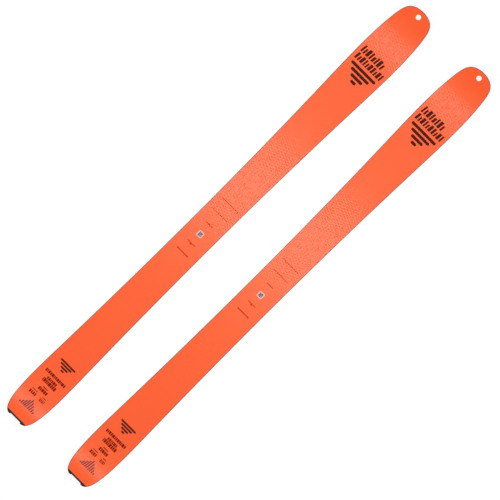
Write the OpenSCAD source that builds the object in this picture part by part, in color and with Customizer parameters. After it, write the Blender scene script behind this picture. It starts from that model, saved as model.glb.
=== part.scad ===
// Pair of wide touring skis, lying side by side on their running bases.
// Each ski is a bonded sandwich: base and steel edges, laminates, wood core, sidewalls, topsheet.
// Frame: +Y to the tips, +X to the right, +Z up, origin on the ground in the middle of the pair.

/* [Outline] */
// Length of a ski, measured straight from tail to tip
ski_length = 1838; // [1780:2:1900]
// Width at the narrowest point
waist_width = 110.2; // [90:0.1:120]
// Place of the narrowest point, behind the middle
waist_y = -90; // [-150:5:0]
// Sidecut radius ahead of the waist
front_sidecut_radius = 18400; // [15000:100:30000]
// Sidecut radius behind the waist
rear_sidecut_radius = 23000; // [15000:100:30000]
// Distance between the centre lines of the two skis
pair_spacing = 274; // [200:1:400]

/* [Nose and tail curves] */
// Where the shovel begins to narrow towards the tip
taper_start = 480; // [400:10:600]
// Narrowing of each side by the tip
taper_width = 32.3; // [20:0.1:40]
// How late the shovel narrows, as a power
taper_lateness = 4; // [3:0.1:5]
// Where the nose begins to round in
nose_start = 780; // [740:5:820]
// Fullness of the nose along the ski
nose_fullness = 9.9; // [6:0.1:12]
// Where the tail begins to round in
tail_start = -620; // [-700:1:-500]
// Fullness of the tail along the ski
tail_fullness = 3.3; // [2:0.1:4]
// Squareness of the tail's corners
tail_squareness = 4.4; // [3:0.1:6]
// Length of the tail's curve that the straight end cuts off
tail_cut = 2; // [1:0.5:6]

/* [Side view] */
// Front contact line, where the tip begins to rise
front_contact_y = 500; // [400:20:600]
// Rear contact line, where the tail begins to rise
rear_contact_y = -700; // [-740:20:-600]
// Height of the arch under the boot
camber = 4; // [2:0.5:8]
// Rise of the sole at the tip
tip_rise = 60; // [40:1:80]
// How late the tip curves up, as a power
tip_lateness = 4.2; // [2:0.1:5]
// Rise of the sole at the tail
tail_rise = 36; // [5:1:45]
// How late the tail curves up, as a power
tail_lateness = 2.9; // [2:0.1:4]
// Thickness under the boot
middle_thickness = 12.6; // [10:0.1:15]
// Thickness at the tip
tip_thickness = 5.2; // [5:0.1:7]
// Thickness at the tail
tail_thickness = 5.4; // [5:0.1:7]
// Rear end of the flat binding platform
platform_rear_y = -230; // [-320:10:-200]
// Front end of the flat binding platform
platform_front_y = 40; // [20:10:100]

/* [Layers] */
// Running base
base_thickness = 1.3; // [1:0.1:1.8]
// Width of a steel edge's foot, seen from below
edge_width = 2; // [1.6:0.1:2.4]
// Height of a steel edge's foot
edge_height = 1.9; // [1.7:0.1:2]
// Reach of a steel edge's anchor tab, from the ski's outer edge
edge_tab_reach = 6.5; // [5:0.5:8]
// Level of the top of the rubber foil and of the inner ply
foil_level = 2.2; // [2.1:0.1:2.4]
// Level of the top of the lower laminate
lower_laminate_level = 2.9; // [2.7:0.1:3.2]
// Upper laminate
upper_laminate_thickness = 0.7; // [0.5:0.1:0.9]
// Topsheet
topsheet_thickness = 0.5; // [0.4:0.1:0.8]
// Metal plate under the upper laminate
plate_thickness = 0.6; // [0.4:0.1:0.8]
// How far the metal plate reaches past each end of the binding platform
plate_overhang = 70; // [40:5:90]
// How far the metal plate stands back from the ski's outer edge
plate_inset = 12; // [9:1:20]
// How far the topsheet stands back from the ski's outer edge
topsheet_inset = 1.6; // [1.2:0.1:3]
// Gap that the laminates and sidewalls leave to the ski's outer edge
bevel_inset = 0.3; // [0.2:0.1:0.5]
// Outer edge of the wood core, from the ski's outer edge
sidewall_reach = 7; // [5:0.5:9]
// Width of one strip of the wood core
stringer_width = 10.6; // [8:0.1:14]

/* [Ends and fittings] */
// Front end of the wood core and sidewalls
core_front_y = 640; // [560:10:700]
// Rear end of the wood core and sidewalls
core_rear_y = -740; // [-780:10:-700]
// Length of the tail protector
protector_length = 9; // [8:0.1:16]
// Length of the tail protector's tongue between the laminates
tongue_length = 26; // [15:1:35]
// Width of the tail protector's tongue
tongue_width = 60; // [40:1:70]
// Width of the notch for a climbing skin's tail clip
notch_width = 44; // [30:1:50]
// Depth of the notch
notch_depth = 3.1; // [2:0.1:6]
// Radius of the hole through the tip
tip_hole_radius = 8.5; // [5:0.5:10]
// Distance from the tip to the centre of the hole
tip_hole_setback = 23; // [22:1:40]
// Side of the square label at the boot centre
label_size = 20; // [10:1:30]
// Thickness of the label, set flush into the topsheet
label_thickness = 0.25; // [0.1:0.05:0.3]
// Place of the label, which marks the boot centre
label_y = -85; // [-150:1:0]

/* [Hidden] */
PIECES = [
    "running_base", "inside_edge", "outside_edge", "inside_edge_foil", "outside_edge_foil", "inner_ply",
    "lower_laminate", "poplar_stringers", "paulownia_stringers", "binding_plate", "inside_sidewall",
    "outside_sidewall", "tip_spacer", "tail_spacer", "upper_laminate", "topsheet", "tail_protector",
    "boot_centre_label",
];

half_length = ski_length / 2;
tip_hole_y = half_length - tip_hole_setback;
protector_y = protector_length - half_length;
tongue_front_y = protector_y + tongue_length;
plate_rear_y = platform_rear_y - plate_overhang;
plate_front_y = platform_front_y + plate_overhang;
contact_middle = (front_contact_y + rear_contact_y) / 2;
contact_half = (front_contact_y - rear_contact_y) / 2;
deck_height = camber + middle_thickness;
slope_step = 1;
reach = 200;
straight_steps = 18;
taper_steps = 10;
nose_steps = 28;
tail_steps = 18;
rocker_step = 20;
rocker_steps = 22;
camber_step = 40;
smallest_step = 0.5;
nose_crowding = 3;
tail_crowding = 1.7;
tail_corner_crowding = 1.4;

// A level is [0, height above the sole] or [1, depth below the deck].
SOLE = [0, 0];
BASE_TOP = [0, base_thickness];
EDGE_TOP = [0, edge_height];
FOIL_TOP = [0, foil_level];
LOWER_LAMINATE_TOP = [0, lower_laminate_level];
CORE_TOP = [1, topsheet_thickness + upper_laminate_thickness];
PLATE_BOTTOM = CORE_TOP + [0, plate_thickness];
UPPER_LAMINATE_TOP = [1, topsheet_thickness];
DECK = [1, 0];

// ---- Outline, seen from above ----

function sidecut(y) =
    waist_width / 2 + pow(y - waist_y, 2) / 2 / (y > waist_y ? front_sidecut_radius : rear_sidecut_radius);

// How much narrower the shovel gets on each side as it tapers towards the nose.
function taper(y) =
    y > taper_start ? taper_width * pow((y - taper_start) / (half_length - taper_start), taper_lateness) : 0;

// Half the ski's width before its ends are rounded.
function side(y) = sidecut(y) - taper(y);

// A superellipse's quarter, from the full width at angle 0 to the centre line at angle 90.
function nose_point(angle) =
    let (y = nose_start + (half_length - nose_start) * pow(sin(angle), 2 / nose_fullness))
    [side(y) * cos(angle), y];

function tail_point(angle) =
    let (y = tail_start - (half_length + tail_cut + tail_start) * pow(sin(angle), 2 / tail_fullness))
    [side(y) * pow(cos(angle), 2 / tail_squareness), y];

// Steps in angle that crowd together where the outline curves most: at the quarter's full width for
// the nose, and at both its ends for the tail.
function nose_angle(i) = 90 * pow(i / nose_steps, nose_crowding);

function tail_angle(i) = 90 * (1 - pow(1 - pow(i / tail_steps, tail_crowding), tail_corner_crowding));

// Evenly spaced places from one along the ski up to the next.
function even_steps(rear, front, steps) = [for (i = [0:steps - 1]) rear + (front - rear) * i / steps];

// The outline of the +X side, from the middle of the tail to the middle of the nose.
side_points = [
    for (i = [tail_steps:-1:1]) tail_point(tail_angle(i)),
    for (y = even_steps(tail_start, taper_start, straight_steps)) [side(y), y],
    for (y = even_steps(taper_start, nose_start, taper_steps)) [side(y), y],
    for (i = [0:nose_steps]) nose_point(nose_angle(i)),
];
last_point = len(side_points) - 1;

function along(i) = side_points[min(i + 1, last_point)] - side_points[max(i - 1, 0)];

// The unit normal that points out of the ski; both ends of the outline lie on the centre line.
function outward(i) =
    i == 0 ? [0, -1] :
    i == last_point ? [0, 1] :
    [along(i)[1], -along(i)[0]] / norm(along(i));

function inset_side(inset) = [for (i = [0:last_point]) side_points[i] - inset * outward(i)];

function mirrored(points) = [for (i = [len(points) - 1:-1:0]) [-points[i][0], points[i][1]]];

function reversed(points) = [for (i = [len(points) - 1:-1:0]) points[i]];

// The whole outline, moved inwards by the inset.
module whole_plan(inset) {
    linear_extrude(reach)
        polygon(concat(inset_side(inset), mirrored(inset_side(inset))));
}

// The band along the +X side between two insets.
module band_plan(outer, inner) {
    linear_extrude(reach)
        polygon(concat(inset_side(outer), reversed(inset_side(inner))));
}

// ---- Profile, seen from the side ----

// How far along the tip's or the tail's bend a place is: 0 at the contact point, 1 at the end.
function tip_bend(y) = (y - front_contact_y) / (half_length - front_contact_y);

function tail_bend(y) = (rear_contact_y - y) / (half_length + rear_contact_y);

function sole_height(y) =
    y > front_contact_y ? tip_rise * pow(tip_bend(y), tip_lateness) :
    y < rear_contact_y ? tail_rise * pow(tail_bend(y), tail_lateness) :
    camber * pow(1 - pow((y - contact_middle) / contact_half, 2), 2);

function slope_stretch(y) =
    norm([1, (sole_height(y + slope_step) - sole_height(y - slope_step)) / (2 * slope_step)]);

function smooth(t) = t <= 0 ? 0 : t >= 1 ? 1 : t * t * (3 - 2 * t);

// 1 over the binding platform, falling to 0 where the core ends.
function fullness(y) =
    y > platform_front_y ? 1 - smooth((y - platform_front_y) / (core_front_y - platform_front_y)) :
    y < platform_rear_y ? 1 - smooth((platform_rear_y - y) / (platform_rear_y - core_rear_y)) :
    1;

function end_thickness(y) = (y > contact_middle ? tip_thickness : tail_thickness) * slope_stretch(y);

// Over the platform the deck is truly flat, so the thickness there makes up for the camber.
function deck_height_at(y) =
    let (full = min(deck_height - sole_height(y), middle_thickness + camber))
    sole_height(y) + end_thickness(y) + (full - end_thickness(y)) * fullness(y);

function level_height(y, level) =
    level[0] == 0 ? sole_height(y) + level[1] * slope_stretch(y) :
    deck_height_at(y) - level[1] * slope_stretch(y);

all_stations = [
    for (i = [rocker_steps:-1:1]) rear_contact_y - i * rocker_step,
    for (y = [rear_contact_y:camber_step:front_contact_y]) y,
    for (i = [1:rocker_steps]) front_contact_y + i * rocker_step,
];

function stations(rear, front) = [
    rear,
    for (y = all_stations) if (y > rear + smallest_step && y < front - smallest_step) y,
    front,
];

// Everything between two levels and two stations along the ski.
module slab(lower, upper, rear = -half_length, front = half_length) {
    ys = stations(rear, front);
    rotate([90, 0, 90])
        translate([0, 0, -reach / 2])
            linear_extrude(reach)
                polygon(concat(
                    [for (y = ys) [y, level_height(y, lower)]],
                    [for (y = reversed(ys)) [y, level_height(y, upper)]]
                ));
}

// ---- Shapes that the pieces share ----

// Room over the centre line between two places along the ski.
module room(rear, front, width = reach) {
    translate([-width / 2, rear, 0])
        cube([width, front - rear, reach]);
}

module tip_hole() {
    translate([0, tip_hole_y, 0])
        cylinder(h = reach, r = tip_hole_radius, $fn = 64);
}

// A sheet of the sandwich from the tail protector to the tip, with the tip's hole through it.
module sheet(inset, lower, upper) {
    difference() {
        intersection() {
            whole_plan(inset);
            slab(lower, upper, rear = protector_y);
        }
        tip_hole();
    }
}

// The core's level holds the plate, so both follow the same facets.
module plate_shape() {
    intersection() {
        whole_plan(plate_inset);
        slab(PLATE_BOTTOM, CORE_TOP, core_rear_y, core_front_y);
        room(plate_rear_y, plate_front_y);
    }
}

module core() {
    difference() {
        intersection() {
            whole_plan(sidewall_reach);
            slab(LOWER_LAMINATE_TOP, CORE_TOP, core_rear_y, core_front_y);
        }
        plate_shape();
    }
}

// Every second strip across the ski; the first strip is the one over the centre line.
module strips(first) {
    count = ceil(reach / stringer_width / 2);
    for (i = [-count:count])
        if (abs(i) % 2 == first)
            translate([(i - 0.5) * stringer_width, -half_length, 0])
                cube([stringer_width, ski_length, reach]);
}

module tongue() {
    intersection() {
        slab(LOWER_LAMINATE_TOP, CORE_TOP, protector_y, core_rear_y);
        room(protector_y, tongue_front_y, tongue_width);
    }
}

module label_shape() {
    translate([-label_size / 2, label_y - label_size / 2, deck_height - label_thickness])
        cube([label_size, label_size, label_thickness]);
}

// ---- Pieces, drawn for the right ski: its inside edge is on the -X side ----

// Sintered base between the steel edges.
module running_base() {
    color("#1b1b1d")
        sheet(edge_width, SOLE, BASE_TOP);
}

// L-shaped steel edge: a foot at the rim and a thin tab bonded over the base.
module edge() {
    intersection() {
        union() {
            band_plan(0, edge_width);
            intersection() {
                band_plan(edge_width, edge_tab_reach);
                slab(BASE_TOP, EDGE_TOP);
            }
        }
        slab(SOLE, EDGE_TOP, rear = protector_y);
    }
}

module outside_edge() {
    color("#9a9da1")
        edge();
}

module inside_edge() {
    color("#9a9da1")
        mirror([1, 0, 0]) edge();
}

// Rubber foil that damps the edge's tab.
module edge_foil() {
    intersection() {
        band_plan(bevel_inset, edge_tab_reach);
        slab(EDGE_TOP, FOIL_TOP, rear = protector_y);
    }
}

module outside_edge_foil() {
    color("#2a2a2a")
        edge_foil();
}

module inside_edge_foil() {
    color("#2a2a2a")
        mirror([1, 0, 0]) edge_foil();
}

// Glass ply that fills the level between the two edges' tabs.
module inner_ply() {
    color("#c9c39f")
        sheet(edge_tab_reach, BASE_TOP, FOIL_TOP);
}

// Glass and carbon laminate over the edges and the inner ply.
module lower_laminate() {
    color("#3a3b36")
        sheet(bevel_inset, FOIL_TOP, LOWER_LAMINATE_TOP);
}

module poplar_stringers() {
    color("#d9bf8c")
        intersection() {
            core();
            strips(0);
        }
}

module paulownia_stringers() {
    color("#c8a878")
        intersection() {
            core();
            strips(1);
        }
}

// Metal plate that the binding's screws bite into.
module binding_plate() {
    color("#b4b7ba")
        plate_shape();
}

module sidewall() {
    intersection() {
        band_plan(bevel_inset, sidewall_reach);
        slab(LOWER_LAMINATE_TOP, CORE_TOP, core_rear_y, core_front_y);
    }
}

module outside_sidewall() {
    color("#242021")
        sidewall();
}

module inside_sidewall() {
    color("#242021")
        mirror([1, 0, 0]) sidewall();
}

// Solid end piece that takes the core's place in the shovel.
module tip_spacer() {
    color("#2c2b2e")
        difference() {
            intersection() {
                whole_plan(bevel_inset);
                slab(LOWER_LAMINATE_TOP, CORE_TOP, rear = core_front_y);
            }
            tip_hole();
        }
}

// Solid end piece at the tail, with a pocket for the protector's tongue.
module tail_spacer() {
    color("#2c2b2e")
        difference() {
            intersection() {
                whole_plan(bevel_inset);
                slab(LOWER_LAMINATE_TOP, CORE_TOP, protector_y, core_rear_y);
            }
            tongue();
        }
}

// Glass and carbon laminate over the core and the sidewalls.
module upper_laminate() {
    color("#3a3b36")
        sheet(topsheet_inset, CORE_TOP, UPPER_LAMINATE_TOP);
}

// Coloured topsheet with a shallow pocket for the label.
module topsheet() {
    color("#fd633a")
        difference() {
            sheet(topsheet_inset, UPPER_LAMINATE_TOP, DECK);
            label_shape();
        }
}

// Block at the end of the tail, notched for the tail clip of a climbing skin.
module tail_protector() {
    color("#1d1b1c")
        union() {
            difference() {
                intersection() {
                    whole_plan(0);
                    slab(SOLE, DECK, front = protector_y);
                }
                room(-half_length - 1, notch_depth - half_length, notch_width);
            }
            tongue();
        }
}

// Square label that marks the boot centre.
module boot_centre_label() {
    color("#e8e6e4")
        label_shape();
}

// ---- The pair ----

module right_ski() {
    translate([pair_spacing / 2, 0, 0])
        children();
}

module left_ski() {
    mirror([1, 0, 0])
        right_ski() children();
}

left_ski() running_base();  // left_running_base
left_ski() inside_edge();  // left_inside_edge
left_ski() outside_edge();  // left_outside_edge
left_ski() inside_edge_foil();  // left_inside_edge_foil
left_ski() outside_edge_foil();  // left_outside_edge_foil
left_ski() inner_ply();  // left_inner_ply
left_ski() lower_laminate();  // left_lower_laminate
left_ski() poplar_stringers();  // left_poplar_stringers
left_ski() paulownia_stringers();  // left_paulownia_stringers
left_ski() binding_plate();  // left_binding_plate
left_ski() inside_sidewall();  // left_inside_sidewall
left_ski() outside_sidewall();  // left_outside_sidewall
left_ski() tip_spacer();  // left_tip_spacer
left_ski() tail_spacer();  // left_tail_spacer
left_ski() upper_laminate();  // left_upper_laminate
left_ski() topsheet();  // left_topsheet
left_ski() tail_protector();  // left_tail_protector
left_ski() boot_centre_label();  // left_boot_centre_label

right_ski() running_base();  // right_running_base
right_ski() inside_edge();  // right_inside_edge
right_ski() outside_edge();  // right_outside_edge
right_ski() inside_edge_foil();  // right_inside_edge_foil
right_ski() outside_edge_foil();  // right_outside_edge_foil
right_ski() inner_ply();  // right_inner_ply
right_ski() lower_laminate();  // right_lower_laminate
right_ski() poplar_stringers();  // right_poplar_stringers
right_ski() paulownia_stringers();  // right_paulownia_stringers
right_ski() binding_plate();  // right_binding_plate
right_ski() inside_sidewall();  // right_inside_sidewall
right_ski() outside_sidewall();  // right_outside_sidewall
right_ski() tip_spacer();  // right_tip_spacer
right_ski() tail_spacer();  // right_tail_spacer
right_ski() upper_laminate();  // right_upper_laminate
right_ski() topsheet();  // right_topsheet
right_ski() tail_protector();  // right_tail_protector
right_ski() boot_centre_label();  // right_boot_centre_label
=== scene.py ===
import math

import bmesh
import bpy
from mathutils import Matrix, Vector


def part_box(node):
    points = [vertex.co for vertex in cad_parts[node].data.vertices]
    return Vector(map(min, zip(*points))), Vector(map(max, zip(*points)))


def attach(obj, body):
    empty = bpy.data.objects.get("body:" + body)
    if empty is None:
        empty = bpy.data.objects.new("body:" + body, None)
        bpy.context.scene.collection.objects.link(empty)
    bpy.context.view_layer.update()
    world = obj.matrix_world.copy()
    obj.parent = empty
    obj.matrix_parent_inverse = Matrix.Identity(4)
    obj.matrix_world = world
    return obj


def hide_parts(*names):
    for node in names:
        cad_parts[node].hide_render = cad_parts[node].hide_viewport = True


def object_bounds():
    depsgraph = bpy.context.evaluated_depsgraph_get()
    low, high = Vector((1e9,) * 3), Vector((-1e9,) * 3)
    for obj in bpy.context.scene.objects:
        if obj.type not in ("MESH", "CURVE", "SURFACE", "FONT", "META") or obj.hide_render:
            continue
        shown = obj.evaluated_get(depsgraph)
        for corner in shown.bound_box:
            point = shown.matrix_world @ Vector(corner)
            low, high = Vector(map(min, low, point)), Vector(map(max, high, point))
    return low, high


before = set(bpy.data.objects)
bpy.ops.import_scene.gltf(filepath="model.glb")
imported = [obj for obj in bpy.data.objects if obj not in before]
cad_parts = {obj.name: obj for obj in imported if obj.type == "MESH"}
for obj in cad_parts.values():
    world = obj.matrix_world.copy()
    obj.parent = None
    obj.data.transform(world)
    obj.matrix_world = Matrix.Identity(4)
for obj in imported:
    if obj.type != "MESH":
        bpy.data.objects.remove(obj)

# The looks of a pair of wide touring skis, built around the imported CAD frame.
#
# Each ski is described once, in its own coordinates and in millimetres: x across from its centre
# line, y towards its tip and z up. Meshes are made in metres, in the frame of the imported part, and
# each ski's centre line and length come from there.

cad_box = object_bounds()
MM = 0.001

# ---- The ski's shape, as in the CAD model ----

HALF_LENGTH = round(cad_box[1][1] / MM, 2)
HALF_WAIST = 55.1
WAIST_Y = -90.0
FRONT_SIDECUT_RADIUS = 18400.0
REAR_SIDECUT_RADIUS = 23000.0
TAPER_START, TAPER_WIDTH, TAPER_LATENESS = 480.0, 32.3, 4.0
NOSE_START, NOSE_FULLNESS = 780.0, 9.9
TAIL_START, TAIL_FULLNESS, TAIL_SQUARENESS = -620.0, 3.3, 4.4
TAIL_CUT = 2.0
NOSE_CROWDING, TAIL_CROWDING, TAIL_CORNER_CROWDING = 3.0, 1.7, 1.4

FRONT_CONTACT_Y, REAR_CONTACT_Y = 500.0, -700.0
CAMBER = 4.0
TIP_RISE, TIP_LATENESS = 60.0, 4.2
TAIL_RISE, TAIL_LATENESS = 36.0, 2.9
MIDDLE_THICKNESS, TIP_THICKNESS, TAIL_THICKNESS = 12.6, 5.2, 5.4
PLATFORM_REAR_Y, PLATFORM_FRONT_Y = -230.0, 40.0
CORE_REAR_Y, CORE_FRONT_Y = -740.0, 640.0
PROTECTOR_Y = -910.0
DECK_Z = CAMBER + MIDDLE_THICKNESS

EDGE_WIDTH, EDGE_CHAMFER = 2.0, 0.12
TAB_REACH = 6.5
SIDEWALL_REACH = 7.0
TOPSHEET_INSET = 1.6
BEVEL_INSET = 0.3
TIP_HOLE_Y, TIP_HOLE_RADIUS = 896.0, 8.5
NOTCH_WIDTH, NOTCH_DEPTH, NOTCH_RADIUS = 44.0, 3.1, 2.5
LABEL_Y, LABEL_SIZE, LABEL_RADIUS = -85.0, 20.0, 2.5
LABEL_DEPTH, LABEL_RISE = 0.2, 0.06

# A level is a height over the sole, or a depth under the deck.
SOLE = ("over_sole", 0.0)
BASE_TOP = ("over_sole", 1.3)
EDGE_TOP = ("over_sole", 1.9)
FOIL_TOP = ("over_sole", 2.2)
LOWER_LAMINATE_TOP = ("over_sole", 2.9)
BEVEL_FOOT = ("under_deck", 2.1)
CORE_TOP = ("under_deck", 1.2)
UPPER_LAMINATE_TOP = ("under_deck", 0.5)
DECK = ("under_deck", 0.0)

# The outline of one side runs from the tail's middle at 0 to the nose's middle at 3.
TAIL_END, NOSE_END = 0.0, 3.0
STATIONS = 300
NORMAL_STEP = 0.002
SLOPE_STEP = 1.0


def side(y):
    """Half the ski's width before its ends are rounded."""
    radius = FRONT_SIDECUT_RADIUS if y > WAIST_Y else REAR_SIDECUT_RADIUS
    taper = max(y - TAPER_START, 0.0) / (HALF_LENGTH - TAPER_START)
    return HALF_WAIST + (y - WAIST_Y) ** 2 / 2 / radius - TAPER_WIDTH * taper**TAPER_LATENESS


def side_point(s):
    """A point of the +X side's outline; each end is a quarter of a superellipse.

    Even steps of s crowd together where the outline curves most, as in the CAD model.
    """
    if s < 1:
        angle = math.pi / 2 * (1 - (1 - (1 - s) ** TAIL_CROWDING) ** TAIL_CORNER_CROWDING)
        y = TAIL_START - (HALF_LENGTH + TAIL_CUT + TAIL_START) * math.sin(angle) ** (2 / TAIL_FULLNESS)
        return side(y) * max(math.cos(angle), 0.0) ** (2 / TAIL_SQUARENESS), y
    if s <= 2:
        y = TAIL_START + (NOSE_START - TAIL_START) * (s - 1)
        return side(y), y
    angle = math.pi / 2 * (s - 2) ** NOSE_CROWDING
    y = NOSE_START + (HALF_LENGTH - NOSE_START) * math.sin(angle) ** (2 / NOSE_FULLNESS)
    return side(y) * max(math.cos(angle), 0.0), y


def inset_point(s, inset):
    """A point of the outline, moved into the ski by the inset."""
    x, y = side_point(s)
    if s == NOSE_END:
        return x, y - inset
    ahead = side_point(min(s + NORMAL_STEP, NOSE_END))
    behind = side_point(max(s - NORMAL_STEP, TAIL_END))
    along = Vector((ahead[0] - behind[0], ahead[1] - behind[1])).normalized()
    return x - inset * along.y, y + inset * along.x


def place_on_side(y, inset):
    """Where along the inset outline it crosses y, by halving."""
    low, high = TAIL_END + 0.01, NOSE_END
    for _ in range(40):
        middle = (low + high) / 2
        if inset_point(middle, inset)[1] < y:
            low = middle
        else:
            high = middle
    return low


def sole_z(y):
    """The underside's height: camber in the middle, and a bend up to each end."""
    if y > FRONT_CONTACT_Y:
        return TIP_RISE * ((y - FRONT_CONTACT_Y) / (HALF_LENGTH - FRONT_CONTACT_Y)) ** TIP_LATENESS
    if y < REAR_CONTACT_Y:
        return TAIL_RISE * ((REAR_CONTACT_Y - y) / (HALF_LENGTH + REAR_CONTACT_Y)) ** TAIL_LATENESS
    middle = (FRONT_CONTACT_Y + REAR_CONTACT_Y) / 2
    half = (FRONT_CONTACT_Y - REAR_CONTACT_Y) / 2
    return CAMBER * (1 - ((y - middle) / half) ** 2) ** 2


def stretch(y):
    """How much longer a sloping layer is than its shadow."""
    return math.hypot(1, (sole_z(y + SLOPE_STEP) - sole_z(y - SLOPE_STEP)) / (2 * SLOPE_STEP))


def smooth(t):
    t = min(max(t, 0.0), 1.0)
    return t * t * (3 - 2 * t)


def deck_z(y):
    """The topsheet's height: level over the binding's platform, then thinner towards each end."""
    over_platform = max(
        (y - PLATFORM_FRONT_Y) / (CORE_FRONT_Y - PLATFORM_FRONT_Y),
        (PLATFORM_REAR_Y - y) / (PLATFORM_REAR_Y - CORE_REAR_Y),
    )
    fullness = 1 - smooth(over_platform)
    front_half = y > (FRONT_CONTACT_Y + REAR_CONTACT_Y) / 2
    end = (TIP_THICKNESS if front_half else TAIL_THICKNESS) * stretch(y)
    full = min(DECK_Z - sole_z(y), MIDDLE_THICKNESS + CAMBER)
    return sole_z(y) + end + (full - end) * fullness


def level_z(y, level):
    """The height of a level at y."""
    kind, distance = level
    if kind == "over_sole":
        return sole_z(y) + distance * stretch(y)
    return deck_z(y) - distance * stretch(y)


# ---- Mesh building ----

CUT_HEIGHT = 150.0


def rail(inset, level, rear=PROTECTOR_Y, front=None):
    """The line that a corner of a cross-section draws along the ski's +X side, up to the nose's middle."""
    first = place_on_side(rear, inset)
    last = NOSE_END if front is None else place_on_side(front, inset)
    points = []
    for k in range(STATIONS + 1):
        x, y = inset_point(first + (last - first) * k / STATIONS, inset)
        points.append((x, y, level_z(y, level)))
    return points


def add_rails(bm, rails, sign, centre):
    """The rails' points as vertices, on the +X side for sign 1 and mirrored for sign -1."""
    return [[bm.verts.new(((centre + sign * x) * MM, y * MM, z * MM)) for x, y, z in r] for r in rails]


def closed_mesh(bm, name):
    """A mesh of the closed surface in bm, shaded smooth between its sharp edges."""
    bmesh.ops.remove_doubles(bm, verts=bm.verts, dist=1e-7)
    bmesh.ops.dissolve_degenerate(bm, edges=bm.edges, dist=1e-8)
    bmesh.ops.recalc_face_normals(bm, faces=bm.faces)
    mesh = bpy.data.meshes.new(name)
    bm.to_mesh(mesh)
    bm.free()
    shade(mesh)
    obj = bpy.data.objects.new(name, mesh)
    bpy.context.collection.objects.link(obj)
    return obj


def shade(mesh):
    """Smooth, except across edges that turn by more than 30 degrees."""
    mesh.shade_smooth()
    mesh.set_sharp_from_angle(angle=math.radians(30))


def across(name, centre, rails):
    """A piece that spans the ski: its rails go from the underside out round the rim and up to the top."""
    bm = bmesh.new()
    right = add_rails(bm, rails, 1, centre)
    left = add_rails(bm, rails, -1, centre)
    last = len(rails[0]) - 1
    for k in range(last):
        for low, high in zip(range(len(rails) - 1), range(1, len(rails))):
            bm.faces.new((right[low][k], right[low][k + 1], right[high][k + 1], right[high][k]))
            bm.faces.new((left[low][k + 1], left[low][k], left[high][k], left[high][k + 1]))
        bm.faces.new((left[0][k], left[0][k + 1], right[0][k + 1], right[0][k]))
        bm.faces.new((right[-1][k], right[-1][k + 1], left[-1][k + 1], left[-1][k]))
    # At the nose's middle the two sides meet, so that a face is needed only at the other end.
    ends = [0] if rails[0][last][0] < 1e-3 else [0, last]
    for k in ends:
        bm.faces.new([r[k] for r in right] + [r[k] for r in reversed(left)])
    return closed_mesh(bm, name)


def along_side(name, centre, sign, rails):
    """A piece along one side of the ski: its rails go once round its cross-section."""
    bm = bmesh.new()
    ring = add_rails(bm, rails, sign, centre)
    last = len(rails[0]) - 1
    for low, high in zip(range(len(rails)), [*range(1, len(rails)), 0]):
        for k in range(last):
            bm.faces.new((ring[low][k], ring[low][k + 1], ring[high][k + 1], ring[high][k]))
    for k in (0, last):
        bm.faces.new([r[k] for r in ring])
    return closed_mesh(bm, name)


def prism(name, centre, outline, low, high):
    """A flat outline of (x, y) points, drawn out between two heights."""
    bm = bmesh.new()
    bottom = [bm.verts.new(((centre + x) * MM, y * MM, low * MM)) for x, y in outline]
    top = [bm.verts.new(((centre + x) * MM, y * MM, high * MM)) for x, y in outline]
    count = len(outline)
    for i in range(count):
        j = (i + 1) % count
        bm.faces.new((bottom[i], bottom[j], top[j], top[i]))
    bm.faces.new(bottom)
    bm.faces.new(top)
    return closed_mesh(bm, name)


def circle(x, y, radius):
    count = 96
    angles = [2 * math.pi * i / count for i in range(count)]
    return [(x + radius * math.cos(a), y + radius * math.sin(a)) for a in angles]


def rounded_box(x, y, width, height, radius, steps=6):
    """The outline of a box around (x, y) with round corners."""
    points = []
    for quarter, (sx, sy) in enumerate(((1, 1), (-1, 1), (-1, -1), (1, -1))):
        cx = x + sx * (width / 2 - radius)
        cy = y + sy * (height / 2 - radius)
        for i in range(steps + 1):
            a = math.pi / 2 * (quarter + i / steps)
            points.append((cx + radius * math.cos(a), cy + radius * math.sin(a)))
    return points


def apply_modifier(obj, kind, **settings):
    """Gives the piece the mesh that the modifier makes of it."""
    modifier = obj.modifiers.new(kind.lower(), kind)
    for name, value in settings.items():
        setattr(modifier, name, value)
    evaluated = obj.evaluated_get(bpy.context.evaluated_depsgraph_get())
    mesh = bpy.data.meshes.new_from_object(evaluated)
    obj.modifiers.clear()
    obj.data = mesh
    shade(mesh)


def cut_through(obj, centre, outline):
    """Cuts a hole with that outline through the whole height of the piece."""
    cutter = prism("cutter", centre, outline, 0, CUT_HEIGHT)
    apply_modifier(obj, "BOOLEAN", operation="DIFFERENCE", solver="EXACT", object=cutter)
    bpy.data.objects.remove(cutter)


# ---- Materials ----


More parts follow.
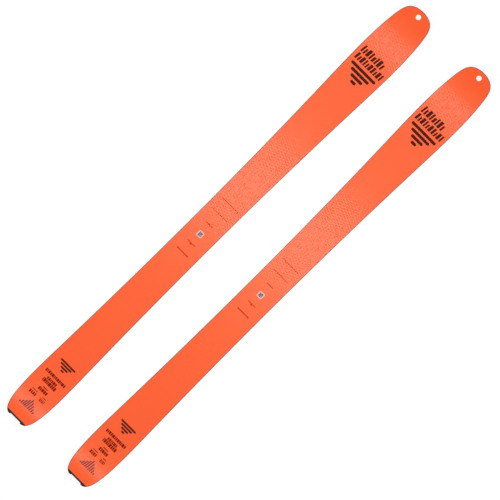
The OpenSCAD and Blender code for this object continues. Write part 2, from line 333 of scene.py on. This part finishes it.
class Surface:
    """A node material with one Principled shader, and short calls for its texture nodes."""

    def __init__(self, name, **sockets):
        self.material = bpy.data.materials.new(name)
        self.material.use_nodes = True
        self.tree = self.material.node_tree
        self.tree.nodes.clear()
        self.shader = self.tree.nodes.new("ShaderNodeBsdfPrincipled")
        output = self.tree.nodes.new("ShaderNodeOutputMaterial")
        self.tree.links.new(self.shader.outputs[0], output.inputs[0])
        self.position = self.node("TexCoord").outputs["Object"]
        for socket, value in sockets.items():
            self.set(socket.replace("_", " "), value)

    def node(self, kind, inputs=None, **settings):
        node = self.tree.nodes.new("ShaderNode" + kind)
        for name, value in settings.items():
            setattr(node, name, value)
        for name, value in (inputs or {}).items():
            self.feed(node.inputs[name], value)
        return node

    def feed(self, socket, value):
        if isinstance(value, bpy.types.NodeSocket):
            self.tree.links.new(value, socket)
        else:
            socket.default_value = value

    def set(self, socket, value):
        self.feed(self.shader.inputs[socket], value)

    def math(self, operation, *values):
        return self.node("Math", dict(enumerate(values)), operation=operation).outputs[0]

    def coordinates(self):
        return self.node("SeparateXYZ", {0: self.position}).outputs

    def stretched(self, scale):
        """The position in metres, times a scale along each axis."""
        mapping = self.node("Mapping", {"Vector": self.position})
        mapping.inputs["Scale"].default_value = scale
        return mapping.outputs[0]

    def noise(self, scale, detail=3.0, vector=None):
        inputs = {"Vector": vector or self.position, "Scale": scale, "Detail": detail}
        return self.node("TexNoise", inputs).outputs["Fac"]

    def ramp(self, value, low, high):
        """The value from 0 to 1, turned into a number from low to high."""
        inputs = {"Value": value, "To Min": low, "To Max": high}
        return self.node("MapRange", inputs).outputs["Result"]

    def blend(self, factor, first, second):
        """The first colour where the factor is 0, and the second where it is 1."""
        node = self.node("Mix", data_type="RGBA")
        for index, value in ((0, factor), (6, first), (7, second)):
            self.feed(node.inputs[index], value)
        return node.outputs[2]

    def bump(self, height, millimetres, normal=None):
        inputs = {"Height": height, "Distance": millimetres * MM, "Strength": 1.0}
        if normal:
            inputs["Normal"] = normal
        return self.node("Bump", inputs).outputs[0]


def scaled(colour, factor):
    """A colour with its three channels times a factor."""
    return tuple(c * factor for c in colour[:3]) + (1.0,)


def grey(value):
    return (value, value, value, 1.0)


# The topsheet's grain: dimples in staggered rows, in millimetres from one to the next.
GRAIN_LENGTH, GRAIN_WIDTH, GRAIN_DRIFT = 9.4, 10.0, 3.0
# Its strength away from the zones where it is deepest, and each zone's centre, reach and strength.
GRAIN_REST = 0.3
GRAIN_ZONES = ((155.0, 205.0, 1.0), (768.0, 62.0, 1.3), (-350.0, 100.0, 0.7))


def wave(surface, coordinate, length):
    """A cosine along a coordinate, from crest to crest in that many millimetres."""
    return surface.math("COSINE", surface.math("MULTIPLY", coordinate, 2 * math.pi / (length * MM)))


def emboss(surface, depth, normal=None):
    """A staggered, slightly uneven grain, deepest ahead of the boot and in the shovel's bend."""
    x, y, _ = surface.coordinates()
    drift = surface.ramp(surface.noise(80.0, detail=1.0), -GRAIN_DRIFT * MM, GRAIN_DRIFT * MM)
    along = wave(surface, surface.math("ADD", y, drift), GRAIN_LENGTH)
    over = wave(surface, surface.math("SUBTRACT", x, drift), 2 * GRAIN_WIDTH)
    lattice = surface.math("MULTIPLY", along, over)
    columns = surface.math("MULTIPLY", wave(surface, x, GRAIN_WIDTH), 0.35)
    patches = surface.ramp(surface.noise(60.0, detail=2.0), -0.5, 2.3)
    uneven = surface.math("MULTIPLY", surface.math("ADD", lattice, columns), patches)
    strength = GRAIN_REST
    for centre, reach, peak in GRAIN_ZONES:
        distance = surface.math("ABSOLUTE", surface.math("SUBTRACT", y, centre * MM))
        ends = {"From Min": 0.5 * reach * MM, "From Max": reach * MM, "To Min": peak, "To Max": GRAIN_REST}
        zone = surface.node("MapRange", {"Value": distance, **ends}).outputs["Result"]
        strength = surface.math("MAXIMUM", zone, strength)
    height = surface.math("MULTIPLY", uneven, strength)
    surface.set("Normal", surface.bump(height, depth, normal))


ORANGE = (0.92, 0.096, 0.0155, 1.0)


def topsheet_material():
    surface = Surface("orange_topsheet", IOR=1.5)
    cloud = surface.noise(9.0, detail=4.0, vector=surface.stretched((1.0, 0.35, 1.0)))
    darker = scaled(ORANGE, 0.95)
    surface.set("Base Color", surface.blend(surface.ramp(cloud, 0.0, 1.0), ORANGE, darker))
    speck = surface.noise(900.0, detail=2.0)
    surface.set("Roughness", surface.ramp(speck, 0.14, 0.2))
    fine = surface.bump(speck, 0.004)
    emboss(surface, 0.12, fine)
    return surface.material


def ink_material(name, colour):
    """Screen-printed ink that lies on the embossed topsheet."""
    surface = Surface(name, Specular_IOR_Level=0.06)
    speck = surface.noise(1400.0, detail=2.0)
    surface.set("Base Color", surface.blend(surface.ramp(speck, 0.0, 0.08), colour, ORANGE))
    surface.set("Roughness", surface.ramp(speck, 0.55, 0.68))
    emboss(surface, 0.1)
    return surface.material


def base_material():
    """Black sintered plastic with the fine lengthwise grooves of a stone grind."""
    surface = Surface("sintered_base", IOR=1.5)
    grooves = surface.noise(1.0, detail=3.0, vector=surface.stretched((2600.0, 8.0, 8.0)))
    cloud = surface.noise(14.0, detail=4.0)
    surface.set("Base Color", surface.blend(cloud, (0.010, 0.010, 0.011, 1.0), (0.022, 0.022, 0.024, 1.0)))
    surface.set("Roughness", surface.ramp(cloud, 0.32, 0.5))
    surface.set("Normal", surface.bump(grooves, 0.02))
    return surface.material


def steel_material():
    """Ground steel: streaks along the edge, a little duller in patches."""
    surface = Surface("edge_steel", Metallic=1.0)
    streaks = surface.noise(1.0, detail=4.0, vector=surface.stretched((3000.0, 25.0, 3000.0)))
    patches = surface.noise(20.0, detail=3.0)
    surface.set("Base Color", surface.blend(streaks, (0.30, 0.30, 0.31, 1.0), (0.52, 0.52, 0.53, 1.0)))
    surface.set("Roughness", surface.ramp(patches, 0.24, 0.42))
    surface.set("Normal", surface.bump(streaks, 0.01))
    return surface.material


def planed_plastic_material(name, colour, roughness):
    """Dense black plastic with faint lengthwise planing marks."""
    surface = Surface(name, Specular_IOR_Level=0.15)
    marks = surface.noise(1.0, detail=3.0, vector=surface.stretched((1500.0, 30.0, 1500.0)))
    lighter = scaled(colour, 1.8)
    surface.set("Base Color", surface.blend(surface.ramp(marks, 0.0, 0.6), colour, lighter))
    surface.set("Roughness", surface.ramp(marks, roughness - 0.06, roughness + 0.1))
    surface.set("Normal", surface.bump(marks, 0.02))
    return surface.material


def rubber_material():
    surface = Surface("foil_rubber", IOR=1.5)
    grain = surface.noise(700.0, detail=3.0)
    surface.set("Base Color", surface.blend(grain, grey(0.012), grey(0.03)))
    surface.set("Roughness", surface.ramp(grain, 0.6, 0.85))
    surface.set("Normal", surface.bump(grain, 0.03))
    return surface.material


def weave_material(name, first, second, pitch, roughness):
    """Cloth set in clear resin: two tones that swap along and across, a thread's pitch apart."""
    surface = Surface(name, IOR=1.5, Coat_Weight=0.6, Coat_Roughness=0.15)
    x, y, _ = surface.coordinates()
    turn = 2 * math.pi / (pitch * MM)
    diagonal = surface.math("SINE", surface.math("MULTIPLY", surface.math("ADD", x, y), turn))
    counter = surface.math("SINE", surface.math("MULTIPLY", surface.math("SUBTRACT", x, y), turn))
    cloth = surface.math("MULTIPLY", diagonal, counter)
    surface.set("Base Color", surface.blend(surface.ramp(cloth, 0.0, 1.0), first, second))
    surface.set("Roughness", surface.ramp(surface.noise(300.0), roughness - 0.05, roughness + 0.1))
    surface.set("Normal", surface.bump(cloth, 0.03))
    return surface.material


def wood_material(name, light, dark):
    """Lengthwise grain with soft growth rings across."""
    surface = Surface(name, IOR=1.45)
    rings = surface.noise(1.0, detail=5.0, vector=surface.stretched((260.0, 6.0, 260.0)))
    pores = surface.noise(1.0, detail=2.0, vector=surface.stretched((2400.0, 60.0, 2400.0)))
    mixed = surface.math("ADD", surface.math("MULTIPLY", rings, 0.75), surface.math("MULTIPLY", pores, 0.25))
    surface.set("Base Color", surface.blend(surface.ramp(mixed, -0.4, 1.4), light, dark))
    surface.set("Roughness", surface.ramp(pores, 0.5, 0.7))
    surface.set("Normal", surface.bump(pores, 0.05))
    return surface.material


def plate_material():
    surface = Surface("plate_metal", Metallic=1.0)
    sanding = surface.noise(1.0, detail=3.0, vector=surface.stretched((400.0, 2000.0, 400.0)))
    surface.set("Base Color", surface.blend(sanding, (0.5, 0.51, 0.53, 1.0), (0.68, 0.69, 0.7, 1.0)))
    surface.set("Roughness", surface.ramp(sanding, 0.3, 0.5))
    surface.set("Normal", surface.bump(sanding, 0.01))
    return surface.material


# The label's square of cells: the size of one, and how many there are in a row.
CODE_CELL, CODE_CELLS = 1.4, 10


def label_material(centre):
    """White film with a square of small random grey cells in its middle."""
    surface = Surface("label_film_" + ("left" if centre < 0 else "right"), IOR=1.5)
    cell = CODE_CELL * MM
    half_code = CODE_CELLS / 2 * cell
    x, y, _ = surface.coordinates()
    x = surface.math("SUBTRACT", x, centre * MM)
    y = surface.math("SUBTRACT", y, LABEL_Y * MM)
    columns = surface.math("FLOOR", surface.math("DIVIDE", x, cell))
    rows = surface.math("FLOOR", surface.math("DIVIDE", y, cell))
    place = surface.node("CombineXYZ", {0: columns, 1: rows}).outputs[0]
    value = surface.node("TexWhiteNoise", {"Vector": place}, noise_dimensions="2D").outputs["Value"]
    filled = surface.math("GREATER_THAN", value, 0.22)
    far = surface.math("MAXIMUM", surface.math("ABSOLUTE", x), surface.math("ABSOLUTE", y))
    inside = surface.math("LESS_THAN", far, half_code)
    printed = surface.math("MULTIPLY", filled, inside)
    surface.set("Base Color", surface.blend(printed, (0.64, 0.46, 0.42, 1.0), (0.085, 0.070, 0.068, 1.0)))
    surface.set("Roughness", surface.ramp(surface.noise(800.0), 0.3, 0.4))
    return surface.material


materials = {
    "orange_topsheet": topsheet_material(),
    "sintered_base": base_material(),
    "edge_steel": steel_material(),
    "sidewall_plastic": planed_plastic_material("sidewall_plastic", (0.006, 0.005, 0.005, 1.0), 0.65),
    "spacer_plastic": planed_plastic_material("spacer_plastic", (0.014, 0.013, 0.013, 1.0), 0.65),
    "protector_plastic": planed_plastic_material("protector_plastic", (0.020, 0.014, 0.013, 1.0), 0.5),
    "foil_rubber": rubber_material(),
    "glass_ply": weave_material("glass_ply", (0.50, 0.47, 0.33, 1.0), (0.36, 0.34, 0.22, 1.0), 3.0, 0.3),
    "carbon_laminate": weave_material("carbon_laminate", grey(0.012), grey(0.03), 4.0, 0.3),
    "poplar": wood_material("poplar", (0.66, 0.50, 0.30, 1.0), (0.45, 0.30, 0.15, 1.0)),
    "paulownia": wood_material("paulownia", (0.52, 0.37, 0.21, 1.0), (0.33, 0.21, 0.11, 1.0)),
    "plate_metal": plate_material(),
}
black_ink = ink_material("black_ink", (0.03, 0.007, 0.007, 1.0))
violet_ink = ink_material("violet_ink", (0.19, 0.045, 0.048, 1.0))
oxblood_ink = ink_material("oxblood_ink", (0.17, 0.004, 0.002, 1.0))
red_ink = ink_material("red_ink", (0.46, 0.022, 0.005, 1.0))

# ---- Pieces ----

# Each ski's name and the sign of its outer side.
SKIS = (("left", -1), ("right", 1))


def centre_line(ski):
    """How far to the right the ski's centre line lies."""
    low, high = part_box(ski + "_running_base")
    return round((low.x + high.x) / 2 / MM, 2)


def finish_piece(obj, ski, slot, material=None):
    """Gives a piece its finish and lets it ride on its ski."""
    obj.data.materials.clear()
    obj.data.materials.append(material or materials[slot])
    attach(obj, ski + "_ski")


def sheet(ski, centre, piece, slot, rails):
    """A layer that spans the ski, with the tip's hole through it."""
    obj = across(ski + "_" + piece + "_shell", centre, rails)
    cut_through(obj, centre, circle(0, TIP_HOLE_Y, TIP_HOLE_RADIUS))
    finish_piece(obj, ski, slot)
    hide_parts(ski + "_" + piece)


def side_piece(ski, centre, sign, piece, slot, rails):
    """A strip along one side of the ski."""
    obj = along_side(ski + "_" + piece + "_strip", centre, sign, rails)
    finish_piece(obj, ski, slot)
    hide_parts(ski + "_" + piece)


def lowered(level, distance):
    """A level moved towards the sole."""
    kind, amount = level
    return (kind, amount - distance if kind == "over_sole" else amount + distance)


def build_sheets(ski, centre):
    sheet(ski, centre, "running_base", "sintered_base", [rail(EDGE_WIDTH, SOLE), rail(EDGE_WIDTH, BASE_TOP)])
    sheet(ski, centre, "lower_laminate", "carbon_laminate",
          [rail(BEVEL_INSET, FOIL_TOP), rail(BEVEL_INSET, LOWER_LAMINATE_TOP)])
    sheet(ski, centre, "tip_spacer", "spacer_plastic",
          [rail(BEVEL_INSET, LOWER_LAMINATE_TOP, CORE_FRONT_Y), rail(BEVEL_INSET, BEVEL_FOOT, CORE_FRONT_Y),
           rail(TOPSHEET_INSET, CORE_TOP, CORE_FRONT_Y)])
    sheet(ski, centre, "upper_laminate", "carbon_laminate",
          [rail(TOPSHEET_INSET, CORE_TOP), rail(TOPSHEET_INSET, UPPER_LAMINATE_TOP)])
    # The topsheet's rim is slightly rounded; its last rail keeps the rim's tilt out of the deck's shading.
    sheet(ski, centre, "topsheet", "orange_topsheet",
          [rail(TOPSHEET_INSET, UPPER_LAMINATE_TOP), rail(TOPSHEET_INSET, lowered(DECK, 0.15)),
           rail(TOPSHEET_INSET + 0.08, lowered(DECK, 0.04)), rail(TOPSHEET_INSET + 0.25, DECK),
           rail(TOPSHEET_INSET + 0.8, DECK)])


def build_tail_spacer(ski, centre):
    rails = [
        rail(BEVEL_INSET, LOWER_LAMINATE_TOP, PROTECTOR_Y, CORE_REAR_Y),
        rail(BEVEL_INSET, BEVEL_FOOT, PROTECTOR_Y, CORE_REAR_Y),
        rail(TOPSHEET_INSET, CORE_TOP, PROTECTOR_Y, CORE_REAR_Y),
    ]
    obj = across(ski + "_tail_spacer_shell", centre, rails)
    finish_piece(obj, ski, "spacer_plastic")
    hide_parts(ski + "_tail_spacer")


def build_sides(ski, centre, outward):
    for place, sign in (("outside", outward), ("inside", -outward)):
        side_piece(ski, centre, sign, place + "_edge", "edge_steel", [
            rail(EDGE_WIDTH, SOLE), rail(EDGE_CHAMFER, SOLE), rail(0.0, lowered(SOLE, -EDGE_CHAMFER)),
            rail(0.0, lowered(EDGE_TOP, EDGE_CHAMFER)), rail(EDGE_CHAMFER, EDGE_TOP),
            rail(TAB_REACH, EDGE_TOP), rail(TAB_REACH, BASE_TOP), rail(EDGE_WIDTH, BASE_TOP),
        ])
        side_piece(ski, centre, sign, place + "_edge_foil", "foil_rubber", [
            rail(TAB_REACH, EDGE_TOP), rail(BEVEL_INSET, EDGE_TOP),
            rail(BEVEL_INSET, FOIL_TOP), rail(TAB_REACH, FOIL_TOP),
        ])
        ends = (CORE_REAR_Y, CORE_FRONT_Y)
        side_piece(ski, centre, sign, place + "_sidewall", "sidewall_plastic", [
            rail(SIDEWALL_REACH, LOWER_LAMINATE_TOP, *ends), rail(BEVEL_INSET, LOWER_LAMINATE_TOP, *ends),
            rail(BEVEL_INSET, BEVEL_FOOT, *ends), rail(TOPSHEET_INSET, CORE_TOP, *ends),
            rail(SIDEWALL_REACH, CORE_TOP, *ends),
        ])


def build_protector(ski, centre):
    """The block at the tail, with the notch for a skin's tail clip and soft edges."""
    span = (-HALF_LENGTH, PROTECTOR_Y)
    obj = across(ski + "_tail_protector_block", centre, [rail(0.0, SOLE, *span), rail(0.0, DECK, *span)])
    past_end = 5
    notch = rounded_box(0, -HALF_LENGTH - past_end, NOTCH_WIDTH, 2 * (NOTCH_DEPTH + past_end), NOTCH_RADIUS)
    cut_through(obj, centre, notch)
    rounding = {"width": 0.5 * MM, "segments": 3}
    apply_modifier(obj, "BEVEL", limit_method="ANGLE", angle_limit=math.radians(40), **rounding)
    finish_piece(obj, ski, "protector_plastic")
    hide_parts(ski + "_tail_protector")


def build_label(ski, centre):
    outline = rounded_box(0, LABEL_Y, LABEL_SIZE, LABEL_SIZE, LABEL_RADIUS)
    low, high = DECK_Z - LABEL_DEPTH, DECK_Z + LABEL_RISE
    obj = prism(ski + "_boot_centre_label_film", centre, outline, low, high)
    finish_piece(obj, ski, "screen_print", label_material(centre))
    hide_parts(ski + "_boot_centre_label")


# ---- Printed graphics: plain bars and stripes in place of lettering and marks ----

INK_STEP = 3.0
INK_THICKNESS = 0.05


def bar(x, y, width, height, lean=0.0):
    """A leaning bar around (x, y), as four points."""
    w, h, l = width / 2, height / 2, lean / 2
    return [(x - w - l, y - h), (x + w - l, y - h), (x + w + l, y + h), (x - w + l, y + h)]


def bar_row(left, right, y, heights, fill):
    """Bars side by side from left to right, one for each height, that fill that share of the row."""
    pitch = (right - left) / len(heights)
    return [bar(left + pitch * (i + 0.5), y, pitch * fill, h) for i, h in enumerate(heights)]


def code_row(left, right, y, height, widths, gap=1.6, lean=0.0, low=1.0):
    """A line of blocks of those relative widths, with even gaps; every third one has the low share."""
    room = right - left - gap * (len(widths) - 1)
    shapes = []
    for i, share in enumerate(widths):
        width = room * share / sum(widths)
        tall = height * (low if i % 3 == 1 else 1.0)
        shapes.append(bar(left + width / 2, y - (height - tall) / 2, width, tall, lean))
        left += width + gap
    return shapes


def striped_triangle(y_apex, y_base, half_width, count, fill):
    """Stripes across the ski that grow from the apex to the base."""
    pitch = (y_base - y_apex) / count
    stripes = []
    for i in range(count):
        y = y_apex + pitch * (i + 0.5)
        half = half_width * (i + 0.75) / count
        stripes.append(rounded_box(0, y, 2 * half, abs(pitch) * fill, abs(pitch) * fill * 0.45, steps=4))
    return stripes


def printed(ski, centre, name, shapes, ink):
    """Thin ink on the deck: flat outlines cut across every few millimetres to follow its curve."""
    bm = bmesh.new()
    for shape in shapes:
        bm.faces.new([bm.verts.new((centre + x, y, 0.0)) for x, y in shape])
    lowest = min(y for shape in shapes for _, y in shape)
    highest = max(y for shape in shapes for _, y in shape)
    for i in range(1, int((highest - lowest) / INK_STEP) + 1):
        everything = bm.verts[:] + bm.edges[:] + bm.faces[:]
        line = (0, lowest + i * INK_STEP, 0)
        bmesh.ops.bisect_plane(bm, geom=everything, plane_co=line, plane_no=(0, 1, 0), dist=1e-5)
    raised = bmesh.ops.extrude_face_region(bm, geom=bm.faces[:], use_keep_orig=True)["geom"]
    top = {element for element in raised if isinstance(element, bmesh.types.BMVert)}
    for vertex in bm.verts:
        x, y, _ = vertex.co
        height = deck_z(y) + (INK_THICKNESS if vertex in top else -INK_THICKNESS)
        vertex.co = (x * MM, y * MM, height * MM)
    obj = closed_mesh(bm, ski + "_" + name)
    finish_piece(obj, ski, "screen_print", ink)


def print_tip(ski, centre):
    """Two rows of blocks and a striped triangle on the shovel."""
    rows = code_row(-56, 34, 704, 26, (3, 3, 5, 3, 4, 3, 5, 3), gap=3.8, lean=3, low=0.75)
    rows += code_row(-56, 56, 674.5, 23, (4, 3, 5, 3, 3, 5, 4, 3, 5, 3), gap=3.8, lean=3, low=0.75)
    printed(ski, centre, "tip_stripes", rows + striped_triangle(594, 656, 56, 4, fill=0.62), black_ink)


def print_tail(ski, centre):
    """A smaller triangle, rows of fine blocks and a hatched triangle on the tail."""
    printed(ski, centre, "tail_triangle", striped_triangle(-711, -675, 34, 4, fill=0.66), black_ink)
    rows = code_row(-42, 42, -736, 10.5, (3, 2, 4, 3, 5, 2, 3, 4, 3, 2, 5, 3))
    rows += code_row(-20, 20, -752.5, 9.5, (3, 4, 2, 3, 5, 3))
    rows += code_row(-28, 28, -765, 12.5, (2, 4, 3, 2, 5, 3, 3, 4))
    rows += code_row(-17, 19, -794, 11, (3, 2, 4, 3, 3)) + [bar(1, -783, 20, 3.2)]
    for left, right in ((-32, -6), (13, 31)):
        rows += code_row(left, right, -820, 11, (3, 2, 3, 2), gap=2.2)
        rows += [bar((left + right) / 2, -809, right - left - 4, 2.4)]
    printed(ski, centre, "tail_stripes", rows, oxblood_ink)
    hatch = []
    for i in range(-4, 5):
        height = 35 * (1 - abs(i) / 5)
        hatch.append(bar(i * 7.2, -870 + height / 2, 4.5, height, lean=0.15 * height))
    printed(ski, centre, "tail_hatching", hatch, violet_ink)


def print_mounting_marks(ski, centre):
    """Lines across the ski around the boot centre, and an arrow that points to the tip."""
    marks = bar_row(-24, 24, -165, (4.6, 3.4, 3.4, 3.4, 3.4, 3.4, 4.6), fill=0.9)
    marks += [bar(-10, -125, 12, 2.6), bar(10, -125, 12, 2.6), [(-5, -130), (5, -130), (0, -121)]]
    marks += bar_row(-16, 13, -43, (2.8, 3.8, 2.8), fill=0.9)
    marks += bar_row(-31, 34, 3, (2.5,) * 9, fill=0.8)
    marks += bar_row(-33, 37, 48, (2.5,) * 9, fill=0.8)
    printed(ski, centre, "mounting_marks", marks, red_ink)


CARRIED_OVER = {
    "inner_ply": "glass_ply",
    "poplar_stringers": "poplar",
    "paulownia_stringers": "paulownia",
    "binding_plate": "plate_metal",
}


def finish_inner_pieces(ski):
    """The CAD's own inner pieces keep their shape and get their materials."""
    for piece, slot in CARRIED_OVER.items():
        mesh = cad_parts[ski + "_" + piece].data
        mesh.materials.clear()
        mesh.materials.append(materials[slot])


for ski, outward in SKIS:
    centre = centre_line(ski)
    build_sheets(ski, centre)
    build_tail_spacer(ski, centre)
    build_sides(ski, centre, outward)
    build_protector(ski, centre)
    build_label(ski, centre)
    print_tip(ski, centre)
    print_tail(ski, centre)
    print_mounting_marks(ski, centre)
    finish_inner_pieces(ski)

# ---- Floor, light and camera, in metres ----

FLOOR_HALF, FLOOR_DROP = 12.0, 0.0005
VIEW_WIDTH, VIEW_CENTRE, VIEW_TURN = 1.5965, (0.0107, -0.0078), 45.2
# The lights of the sheen: name, place and width along the skis, power and blue channel.
SHEENS = (
    ("sheen_core", 0.1925, 0.405, 3.15, 0.85),
    ("sheen_wing", 0.185, 0.77, 1.73, 0.6),
    ("sheen_skirt", 0.17, 1.64, 1.1, 0.4),
)
SHEEN_HEIGHT, SHEEN_LENGTH = 2.0, 2.4


def build_floor():
    bm = bmesh.new()
    corners = [(sx * FLOOR_HALF, sy * FLOOR_HALF) for sx, sy in ((-1, -1), (1, -1), (1, 1), (-1, 1))]
    bm.faces.new([bm.verts.new((x, y, -FLOOR_DROP)) for x, y in corners])
    mesh = bpy.data.meshes.new("floor")
    bm.to_mesh(mesh)
    bm.free()
    floor = bpy.data.objects.new("floor", mesh)
    bpy.context.collection.objects.link(floor)
    surface = Surface("floor_paper", Roughness=0.9, Specular_IOR_Level=0.0, Emission_Strength=0.86)
    surface.set("Emission Color", grey(1.0))
    paper = surface.noise(3.0)
    surface.set("Base Color", surface.blend(paper, grey(0.14), grey(0.17)))
    mesh.materials.append(surface.material)


def area_light(name, y, z, size, power, glossy_only=False):
    """A rectangular light over the line between the skis that shines straight down."""
    light = bpy.data.lights.new(name, "AREA")
    light.shape = "RECTANGLE"
    light.size, light.size_y = size
    light.energy = power
    obj = bpy.data.objects.new(name, light)
    obj.location = (0.0, y, z)
    obj.visible_camera = False
    obj.visible_diffuse = not glossy_only
    bpy.context.collection.objects.link(obj)
    return obj


def build_world():
    """A sky that is white at the horizon and dim overhead, so that flat decks keep their colour."""
    world = bpy.data.worlds.new("studio")
    world.use_nodes = True
    sky = world.node_tree
    direction = sky.nodes.new("ShaderNodeTexCoord").outputs["Generated"]
    split = sky.nodes.new("ShaderNodeSeparateXYZ")
    sky.links.new(direction, split.inputs[0])
    fade = sky.nodes.new("ShaderNodeValToRGB")
    sky.links.new(split.outputs["Z"], fade.inputs["Fac"])
    ramp = fade.color_ramp.elements
    ramp[0].position, ramp[0].color = 0.02, grey(1.0)
    ramp[1].position, ramp[1].color = 1.0, grey(0.3)
    ramp.new(0.12).color = grey(0.5)
    sky.links.new(fade.outputs["Color"], sky.nodes["Background"].inputs["Color"])
    bpy.context.scene.world = world


def build_lights():
    """One wide light for the colour, and three that only the gloss shows."""
    overhead = area_light("overhead", y=0.0, z=4.0, size=(5.0, 5.0), power=177.0)
    overhead.visible_glossy = False
    for name, y, width, power, blue in SHEENS:
        sheen = area_light(name, y, SHEEN_HEIGHT, (SHEEN_LENGTH, width), power, glossy_only=True)
        sheen.data.spread = math.radians(100)
        sheen.data.color = (1.0, 0.97, blue)


def build_camera():
    """Straight above and far away, with the tips to the upper right."""
    camera = bpy.data.cameras.new("camera")
    camera.lens = 1000.0
    camera.sensor_width = 36.0
    obj = bpy.data.objects.new("camera", camera)
    obj.location = (*VIEW_CENTRE, VIEW_WIDTH * camera.lens / camera.sensor_width)
    obj.rotation_euler = (0.0, 0.0, math.radians(VIEW_TURN))
    bpy.context.collection.objects.link(obj)
    bpy.context.scene.camera = obj


build_floor()
build_world()
build_lights()
build_camera()
scene = bpy.context.scene
scene.view_settings.view_transform = "Standard"
scene.view_settings.look = "None"
